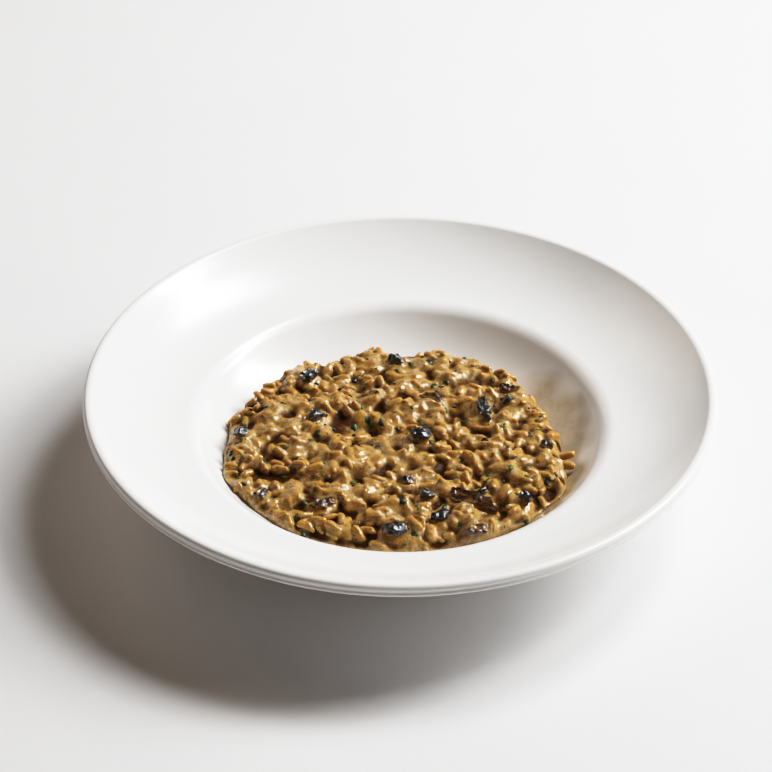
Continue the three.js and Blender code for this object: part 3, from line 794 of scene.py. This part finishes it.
def joined(copies):
    """Points, faces and tints of many copies joined; each copy has its points, faces and tint."""
    points, faces, tints = [], [], []
    for copy_points, copy_faces, tint in copies:
        faces += [tuple(len(tints) + corner for corner in face) for face in copy_faces]
        points.append(copy_points)
        tints += [tint] * len(copy_points)
    return np.concatenate(points), faces, tints


def add_mesh(name, points, faces, attributes):
    """Adds a smooth piece from points in metres, with what its material reads at each point."""
    mesh = bpy.data.meshes.new(name)
    mesh.from_pydata(points, [], faces)
    for attribute_name, values in attributes.items():
        set_attribute(mesh, attribute_name, values)
    mesh.polygons.foreach_set("use_smooth", [True] * len(mesh.polygons))
    piece = bpy.data.objects.new(name, mesh)
    bpy.context.scene.collection.objects.link(piece)
    return piece


copies = []
for index, (x, y, height, heading, pitch, size) in enumerate(laid):
    points, sides = kinds[index % GRAIN_KINDS]
    turn = (Matrix.Rotation(heading, 3, "Z") @ Matrix.Rotation(-math.atan(pitch), 3, "Y")
            @ Matrix.Rotation(draw.uniform(-GRAIN_ROLL, GRAIN_ROLL), 3, "X"))
    placed = points * size @ np.array(turn).T + (x, y, height)
    copies.append((placed, sides, draw.uniform()))
grain_points, faces, tints = joined(copies)
rice = add_mesh("rice_grains", grain_points * MM, faces, {"tint": tints})

# Boiled starch, stained by the stock: waxy and half clear, so that light sinks in and comes out
# golden. A wet film of sauce lies over it, beige where it is thick, and so finely uneven that its
# shine breaks up into specks.
GRAIN_COLOUR = "#C2964D"
GRAIN_DARK_COLOUR = "#AD843F"
GRAIN_GLOW = (0.0034, 0.002, 0.0008)  # how far red, green and blue light spreads inside
GRAIN_MOTTLING = 0.16
FILM_COLOUR = "#B39362"
FILM_MOST = 0.85
FILM_PATCH_WIDTH = 4.5 * MM
FILM_GRIT_DEPTH = 0.12 * MM
FILM_RIPPLE_DEPTH = 0.28 * MM
GRIT_WIDTH = 0.8 * MM
RIPPLE_WIDTH = 1.7 * MM


def add_wet_food(tree, colour, glow, mottling, grit_depth, wetness, ripple_depth):
    """Ends the material of rice or sauce: soft, gritty and mottled, under a rippled wet film."""
    grit = noise_pattern(tree, GRIT_WIDTH, detail=2)
    ripples = noise_pattern(tree, RIPPLE_WIDTH, detail=3)
    mottled = ramp(tree, grit, (0.3, 0.7), to=(1 - mottling, 1 + mottling))
    flecked = add_node(tree, "ShaderNodeVectorMath", {
        "operation": "SCALE", 0: colour, "Scale": mottled,
    }).outputs[0]
    add_surface(tree, {
        "Base Color": flecked, "Roughness": 0.6, "IOR": 1.4, "Specular IOR Level": 0.12,
        "Normal": bumps(tree, grit, grit_depth),
        "Coat Weight": wetness, "Coat Roughness": 0.03, "Coat IOR": 1.64,
        "Coat Normal": bumps(tree, ripples, ripple_depth),
        "Subsurface Weight": 1.0, "Subsurface Radius": glow, "Subsurface Scale": 1.0,
    })


cooked_rice, tree = new_material("cooked_rice_in_sauce_film")
stained = mixed(tree, attribute(tree, "tint"), GRAIN_COLOUR, GRAIN_DARK_COLOUR)
drowned = attribute(tree, "drowned")
film_depth = maths(tree, "ADD", noise_pattern(tree, FILM_PATCH_WIDTH, detail=4), drowned)
film = ramp(tree, film_depth, (0.55, 1.1), to=(0.0, FILM_MOST))
wetness = ramp(tree, drowned, (0.12, 0.5), to=(1.0, 0.1))
add_wet_food(
    tree, mixed(tree, film, stained, FILM_COLOUR), GRAIN_GLOW, GRAIN_MOTTLING, FILM_GRIT_DEPTH,
    wetness, FILM_RIPPLE_DEPTH)
rice.data.materials.append(cooked_rice)
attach(rice, "root")


# ---- Sauce
# The mushroom cream that binds the rice: thick enough to bridge from grain to grain and to climb
# their sides, it floods some clumps and leaves clefts between others, painted dark brown as shade.
# One closed skin over the heap, with a plain underside that lies in the well.
SAUCE_RINGS = 178
SAUCE_SEED = 512
SAUCE_BASE_RINGS = [(66.0, 180), (FLOOR_RADIUS - 2, 90), (22.0, 30)]
SAUCE_SUNK_IN_GLAZE = 0.25
SAUCE_FILLET = 0.5
SAUCE_EDGE_WIDTH = 2.2
SAUCE_OVER_GRAIN = 0.05
GRAIN_SIDE_WIDTH = 0.4
SAUCE_CLING = 0.45
CLING_WIDTH = 2.2
SAUCE_LEVEL = 1.05
LEVEL_BLURS = [(0.6, 1.2), (0.4, 2.6)]  # weight and width of what the level follows
FLOOD_DEPTH = 1.1
FLOOD_WIDTH = 6.0
FLOOD_RAGGED = (0.35, 1.6)  # depth and width
EDGE_FLOOD = 0.8
PIECE_BANK = 2.2  # the sauce climbs a piece's sides
PIECE_BANK_WIDTH = 1.2
SKIN_WIDTH = 0.25
SKIN_UNEVEN = (0.22, 0.7)  # height and width
HOLLOW_WIDTH = 5.0
THIN_SAUCE = 0.9
SMEARED_HEIGHT = 1.6
DROWNED_OVER = 1.0
DROWNED_FADE = 1.6
DROWNED_MOST = 0.5

draw = np.random.default_rng(SAUCE_SEED)
flooding = FLOOD_DEPTH * drifts(draw, FLOOD_WIDTH) + FLOOD_RAGGED[0] * drifts(draw, FLOOD_RAGGED[1])
from_edge = outline_radius(np.arctan2(map_y, map_x)) - np.hypot(map_x, map_y)
flooding += EDGE_FLOOD * np.clip(1 - from_edge / EDGE_WIDTH, 0, 1)
beside_piece = blurred(mushroom_cover.astype(float), PIECE_BANK_WIDTH) * ~mushroom_cover
level = (sum(weight * blurred(rice_top, width) for weight, width in LEVEL_BLURS)
         + SAUCE_LEVEL + flooding + PIECE_BANK * beside_piece)
cling = SAUCE_CLING * drifts(draw, CLING_WIDTH)
grain_sides = blurred(rice_top, GRAIN_SIDE_WIDTH) + SAUCE_OVER_GRAIN + cling
blend = np.clip(0.5 + (level - grain_sides) / (2 * SAUCE_FILLET), 0, 1)
sauce_top = grain_sides + (level - grain_sides) * blend + SAUCE_FILLET * blend * (1 - blend)
sauce_top = blurred(sauce_top, SKIN_WIDTH) + SKIN_UNEVEN[0] * drifts(draw, SKIN_UNEVEN[1])
relief = np.where(inside_heap, sauce_top - mean_surface, 0)
# How far a point lies below the heap around it; the material paints shade into the clefts by it
hollow = blurred(relief, HOLLOW_WIDTH) - relief
thin = np.clip(1 - (sauce_top - rice_top) / THIN_SAUCE, 0, 1)

# A piece of mushroom is smeared with sauce where it sinks in, and a grain is filmed with it
for body in pieces:
    x, y, z = np.array([vertex.co for vertex in body.data.vertices]).T / MM
    dipped = np.clip((at_points(sauce_top, x, y) + SMEARED_HEIGHT - z) / SMEARED_HEIGHT, 0, 1)
    set_attribute(body.data, "dipped", dipped)
x, y, z = grain_points.T
drowned = np.clip((at_points(sauce_top, x, y) + DROWNED_OVER - z) / DROWNED_FADE, 0, 1)
set_attribute(rice.data, "drowned", DROWNED_MOST * drowned)

# The skin is a web of triangles over the heap's top, in rings about its middle
sauce_points = [(0.0, 0.0)]
sauce_faces = []
rings = [[0]]
for ring in range(1, SAUCE_RINGS + 1):
    azimuth = 2 * math.pi * np.arange(6 * ring) / (6 * ring)
    radius = outline_radius(azimuth) * ring / SAUCE_RINGS
    rings.append(list(range(len(sauce_points), len(sauce_points) + 6 * ring)))
    sauce_points += list(zip(radius * np.cos(azimuth), radius * np.sin(azimuth)))
    inner, outer = rings[-2], rings[-1]
    for side in range(6):
        for step in range(ring):
            near = outer[side * ring + step]
            far = outer[(side * ring + step + 1) % len(outer)]
            first = inner[(side * (ring - 1) + step) % len(inner)]
            sauce_faces.append((first, near, far))
            if step < ring - 1:
                second = inner[(side * (ring - 1) + step + 1) % len(inner)]
                sauce_faces.append((first, far, second))
sauce_points = np.array(sauce_points)
x, y = sauce_points[:, 0], sauce_points[:, 1]
radius = np.hypot(x, y)
edge = outline_radius(np.arctan2(y, x))
inward = np.clip((edge - radius) / SAUCE_EDGE_WIDTH, 0, 1)
foot = well_height(radius) - SAUCE_SUNK_IN_GLAZE
over_foot = np.maximum(at_points(sauce_top, x, y), foot) - foot
sauce_z = foot + over_foot * np.sqrt(1 - (1 - inward) ** 2)

# Its underside is a few rings in the well, each joined to the one outside it
top_count = len(sauce_points)
under_points = []
outer = rings[-1]
for base_radius, count in SAUCE_BASE_RINGS:
    azimuth = 2 * math.pi * np.arange(count) / count
    start = top_count + len(under_points)
    base_z = well_height(base_radius) - SAUCE_SUNK_IN_GLAZE
    under_points += [
        (base_radius * math.cos(a), base_radius * math.sin(a), base_z) for a in azimuth]
    inner = list(range(start, start + count))
    i = o = 0
    while i < len(inner) or o < len(outer):
        a, b = inner[i % len(inner)], outer[o % len(outer)]
        if i == len(inner) or (o < len(outer) and (o + 1) * len(inner) <= (i + 1) * len(outer)):
            o += 1
            sauce_faces.append((b, a, outer[o % len(outer)]))
        else:
            i += 1
            sauce_faces.append((b, a, inner[i % len(inner)]))
    outer = inner
sauce_faces.append(tuple(reversed(outer)))

all_points = np.concatenate([np.column_stack([x, y, sauce_z]), np.array(under_points)])
sauce = add_mesh("mushroom_cream_sauce", all_points * MM, sauce_faces, {
    name: np.concatenate([at_points(height_map, x, y), np.zeros(len(under_points))])
    for name, height_map in (("hollow", hollow), ("thin", thin))
})

# Reduced stock and cream, stirred with the rice's starch: an opaque beige-brown, golden where a
# grain lies close under it, painted dark brown as shade down in the clefts, with a wet, finely
# uneven skin
SAUCE_COLOUR = "#B3935E"
SAUCE_BROWN_COLOUR = "#A37F46"
SAUCE_ON_GRAIN_COLOUR = "#BC8F49"
SAUCE_PAINTED_SHADE_COLOUR = "#4C2A06"
SAUCE_PAINTED_SHADE_DEPTHS = (0.45, 1.5)
SAUCE_CLOUD_WIDTH = 6 * MM
SAUCE_GLOW = (0.003, 0.0018, 0.0008)
SAUCE_MOTTLING = 0.08
SAUCE_GRIT_DEPTH = 0.08 * MM
SAUCE_RIPPLE_DEPTH = 0.32 * MM
STREAK_COLOUR = "#C8B083"
STREAK_SPACING = 7 * MM
STREAK_TWIST = 1.2
STREAK_WIDTH = 0.045
STREAK_MOST = 0.75
SPECK_COLOUR = "#3F3413"
SPECK_WIDTH = 1.0 * MM
SPECK_MOST = 0.8

cream, tree = new_material("mushroom_cream_stirred_with_rice_starch")
clouds = noise_pattern(tree, SAUCE_CLOUD_WIDTH, detail=5)
beige = mixed(tree, ramp(tree, clouds, (0.4, 0.65)), SAUCE_COLOUR, SAUCE_BROWN_COLOUR)
swirls = noise_pattern(tree, STREAK_SPACING, detail=2, distortion=STREAK_TWIST)
off_line = maths(tree, "ABSOLUTE", maths(tree, "SUBTRACT", swirls, 0.5))
streaks = ramp(tree, off_line, (0.0, STREAK_WIDTH), to=(STREAK_MOST, 0.0))
milky = mixed(tree, streaks, beige, STREAK_COLOUR)
golden = mixed(tree, attribute(tree, "thin"), milky, SAUCE_ON_GRAIN_COLOUR)
depth = attribute(tree, "hollow")
# Painted shade: the deeper a point lies in a cleft, the nearer its colour comes to dark brown
shaded = mixed(tree, ramp(tree, depth, SAUCE_PAINTED_SHADE_DEPTHS), golden, SAUCE_PAINTED_SHADE_COLOUR)
specks = noise_pattern(tree, SPECK_WIDTH, detail=1)
specked = mixed(tree, ramp(tree, specks, (0.66, 0.72), to=(0.0, SPECK_MOST)), shaded, SPECK_COLOUR)
wetness = ramp(tree, depth, (-0.1, 0.9), to=(1.0, 0.06))
add_wet_food(
    tree, specked, SAUCE_GLOW, SAUCE_MOTTLING, SAUCE_GRIT_DEPTH, wetness, SAUCE_RIPPLE_DEPTH)
sauce.data.materials.append(cream)
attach(sauce, "root")
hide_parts("risotto")


# ---- Film of sauce, and painted shade, on the wall
# Where the heap slid back a little on the right it left a thin film on the wall of the well: beige
# where it is thickest, next to the heap, and faded out to clean glaze farther up. Its darkening is
# also painted shade, laid over the part of the wall that lies in shade.
SMEAR_AZIMUTHS = (-66, 46)  # degrees
SMEAR_WIDTH = 21.0
SMEAR_FADE = 14.0  # degrees
SMEAR_UNDER_HEAP = 3
SMEAR_BELOW_COVE_TOP = 0.5
SMEAR_THICK_AND_SHADED_AZIMUTH = -36
SMEAR_THICK_AND_SHADED = 0.6
SMEAR_THICKNESS = 0.1
SMEAR_COVER = 2.4
SMEAR_RAGGED = (0.5, 4.0)  # strength and width
SMEAR_STEPS = (120, 20)
SMEAR_SEED = 5

draw = np.random.default_rng(SMEAR_SEED)
ragged = drifts(draw, SMEAR_RAGGED[1])
start, end = SMEAR_AZIMUTHS
azimuths, outward = np.meshgrid(
    np.linspace(start, end, SMEAR_STEPS[0]), np.linspace(0, 1, SMEAR_STEPS[1]), indexing="ij")
at_ends = np.clip(np.minimum(azimuths - start, end - azimuths) / SMEAR_FADE, 0, 1)
inner_radius = outline_radius(np.radians(azimuths)) - SMEAR_UNDER_HEAP
cove_top = FLOOR_RADIUS + COVE_RADIUS * math.sin(math.radians(COVE_SLOPE)) - SMEAR_BELOW_COVE_TOP
outer_radius = np.minimum(
    inner_radius + SMEAR_UNDER_HEAP + SMEAR_WIDTH * np.sqrt(at_ends), cove_top)
radius = inner_radius + outward * (outer_radius - inner_radius)
x, y = radius * np.cos(np.radians(azimuths)), radius * np.sin(np.radians(azimuths))
slope = (radius - FLOOR_RADIUS) / COVE_RADIUS
thickness = SMEAR_THICKNESS * (1.05 - outward) * (0.1 + 0.9 * at_ends)
smear_points = np.stack([
    x - thickness * slope * np.cos(np.radians(azimuths)),
    y - thickness * slope * np.sin(np.radians(azimuths)),
    well_height(radius) + thickness * np.sqrt(1 - slope ** 2),
], axis=-1).reshape(-1, 3)
film = np.clip(
    SMEAR_COVER * (1 - outward) + SMEAR_RAGGED[0] * at_points(ragged, x, y), 0, 1) * at_ends
# Darker about one azimuth: partly thicker film, partly painted shade
film *= 1 + SMEAR_THICK_AND_SHADED * np.exp(-((azimuths - SMEAR_THICK_AND_SHADED_AZIMUTH) / SMEAR_FADE) ** 2)
film[:, -1] = 0
smear_faces = [
    (i * SMEAR_STEPS[1] + j, i * SMEAR_STEPS[1] + j + 1, (i + 1) * SMEAR_STEPS[1] + j + 1,
     (i + 1) * SMEAR_STEPS[1] + j)
    for i in range(SMEAR_STEPS[0] - 1) for j in range(SMEAR_STEPS[1] - 1)]
smear = add_mesh("sauce_film_and_painted_shade_on_wall", smear_points * MM, smear_faces, {"film": film.ravel()})

# Thin wet cream over glaze, darkened also as painted shade: the white shows through it, mottled where
# it drew together
FILM_THICK_AND_SHADE_COLOUR = "#B09C7C"
FILM_THIN_AND_SHADE_COLOUR = "#C8BCA8"
FILM_MOTTLE_WIDTH = 2.6 * MM

wall_film_and_shade, tree = new_material("cream_film_and_painted_shade_on_glaze")
film = attribute(tree, "film")
build_up = maths(tree, "ADD", film, noise_pattern(tree, FILM_MOTTLE_WIDTH, detail=3))
cream_and_shade_colour = mixed(tree, ramp(tree, build_up, (1.3, 2.2)), FILM_THIN_AND_SHADE_COLOUR, FILM_THICK_AND_SHADE_COLOUR)
add_surface(tree, {
    "Base Color": mixed(tree, film, GLAZE_COLOUR, cream_and_shade_colour), "Roughness": 0.16, "IOR": 1.5,
})
smear.data.materials.append(wall_film_and_shade)
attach(smear, "root")


# ---- Crumbs of mushroom
# Bits that broke off in the pan, black and shapeless, lying between the grains.
CRUMBS = [  # x, y and length
    (15, 55, 5), (40, -10, 5), (38.5, -45.6, 5.5), (-8.7, 7, 5), (-10.5, -10, 5), (-22.5, 44, 5),
    (-32.4, 4.5, 4.5), (-21, -39, 5), (-80.5, -17.7, 4.5), (-69.6, 22, 4.5), (-79, -21, 3.5),
]
LOOSE_CRUMBS = 55
LOOSE_CRUMB_SIZES = (1.3, 3.2)
CRUMB_SEED = 77
CRUMB_CUTS = 4
CRUMB_MARGIN = 4
FOOD_TOP_WIDTH = 0.4
FOOD_SLOPE_WIDTH = 1.2

food_top = blurred(np.maximum(rice_top, sauce_top), FOOD_TOP_WIDTH)
slope_x, slope_y = np.gradient(blurred(food_top, FOOD_SLOPE_WIDTH), CELL)


def loose_place(draw, margin):
    """A random place on the heap, at least a margin inside its edge."""
    azimuth = draw.uniform(-math.pi, math.pi)
    radius = (float(outline_radius(azimuth)) - margin) * math.sqrt(draw.uniform())
    return radius * math.cos(azimuth), radius * math.sin(azimuth)


def laid_on_food(x, y, heading, sunk):
    """Turns and moves a bit so that it lies on the food, tipped as the surface is there."""
    normal = Vector((-float(at_points(slope_x, x, y)), -float(at_points(slope_y, x, y)), 1))
    tip = Vector((0, 0, 1)).rotation_difference(normal).to_matrix().to_4x4()
    at = Vector((x, y, float(at_points(food_top, x, y)) - sunk)) * MM
    return Matrix.Translation(at) @ tip @ Matrix.Rotation(heading, 4, "Z")


draw = np.random.default_rng(CRUMB_SEED)
loose = []
while len(loose) < LOOSE_CRUMBS:
    x, y = loose_place(draw, CRUMB_MARGIN)
    if not at_points(mushroom_cover.astype(float), x, y) > 0:
        loose.append((x, y, draw.uniform(*LOOSE_CRUMB_SIZES)))
for index, (x, y, length) in enumerate(CRUMBS + loose):
    heading = Matrix.Rotation(draw.uniform(0, 2 * math.pi), 4, "Z")
    crumb = stewed_piece(
        f"crumb_{index}", (length, length * draw.uniform(0.45, 0.8), length * 0.5),
        PIECE_FORMS["chunk"], heading, 40 + index, cuts=CRUMB_CUTS)
    crumb.data.transform(laid_on_food(x, y, 0, length * 0.05))
bpy.ops.object.select_all(action="DESELECT")
for index in range(len(CRUMBS + loose)):
    bpy.data.objects[f"crumb_{index}"].select_set(True)
bpy.context.view_layer.objects.active = bpy.data.objects["crumb_0"]
bpy.ops.object.join()
crumbs = bpy.context.object
crumbs.name = "mushroom_crumbs"
bpy.ops.object.shade_smooth()
crumbs.data.materials.append(stewed)
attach(crumbs, "root")


# ---- Chopped herb
# Parsley leaf, cut up fine and stirred in at the end: dark, wet, thin flakes, a few of them large.
HERBS = [  # x, y and length of the flakes that show most
    (-42.5, -7.5, 6.5), (-44.5, -73.5, 6), (38, -46, 6.5), (21, -9, 5), (27, -73, 4.4),
    (-17.5, 37, 3.9), (58, -66, 4.4), (70, -38.5, 3.9), (65.5, 8, 3.9), (-65, 5, 3.9),
    (-60, -50.5, 4.4), (26.5, -36, 4.4), (-40, -59, 4.4), (15, 54, 3.9), (-31, 48, 3.9),
    (54, -23, 3.9),
]
LOOSE_HERBS = 95
LOOSE_HERB_SIZES = (2.0, 5.0)
HERB_THICKNESS = 0.25
HERB_SEED = 31
HERB_MARGIN = 3
HERB_SIDES = 8
HERB_CURL = 0.18

# One flake: a thin plate, narrow at its tips, its middle raised
bpy.ops.mesh.primitive_cylinder_add(
    vertices=HERB_SIDES, radius=0.5, depth=1, end_fill_type="TRIFAN")
flake = bpy.context.object
flake_points = np.array([vertex.co for vertex in flake.data.vertices])
flake_faces = [tuple(face.vertices) for face in flake.data.polygons]
flake_turns = np.arctan2(flake_points[:, 1], flake_points[:, 0]) / (2 * math.pi / HERB_SIDES)
flake_spokes = np.round(flake_turns).astype(int) % HERB_SIDES
bpy.data.objects.remove(flake)

draw = np.random.default_rng(HERB_SEED)
herbs = list(HERBS)
for _ in range(LOOSE_HERBS):
    herbs.append((*loose_place(draw, HERB_MARGIN), draw.uniform(*LOOSE_HERB_SIZES)))
copies = []
for x, y, length in herbs:
    points = flake_points * (length, length * draw.uniform(0.4, 0.75), HERB_THICKNESS)
    points[:, :2] *= draw.uniform(0.5, 1.35, HERB_SIDES)[flake_spokes][:, None]
    points[:, 2] += HERB_CURL * length * draw.uniform(-1, 1) * (2 * points[:, 0] / length) ** 2
    place_here = np.array(laid_on_food(x, y, draw.uniform(0, math.pi), 0.0))
    points = points * MM @ place_here[:3, :3].T + place_here[:3, 3]
    copies.append((points, flake_faces, draw.uniform()))
flakes, faces, tints = joined(copies)
herb = add_mesh("herb_flakes", flakes, faces, {"tint": tints})

# Leaf cooked dark in the sauce, with a wet film over it
HERB_COLOUR = "#4C6620"
HERB_DARK_COLOUR = "#27330F"

cooked_herb, tree = new_material("parsley_chopped_and_stirred_in")
add_surface(tree, {
    "Base Color": mixed(tree, attribute(tree, "tint"), HERB_COLOUR, HERB_DARK_COLOUR),
    "Roughness": 0.5, "Coat Weight": 0.35, "Coat Roughness": 0.12,
})
herb.data.materials.append(cooked_herb)
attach(herb, "root")
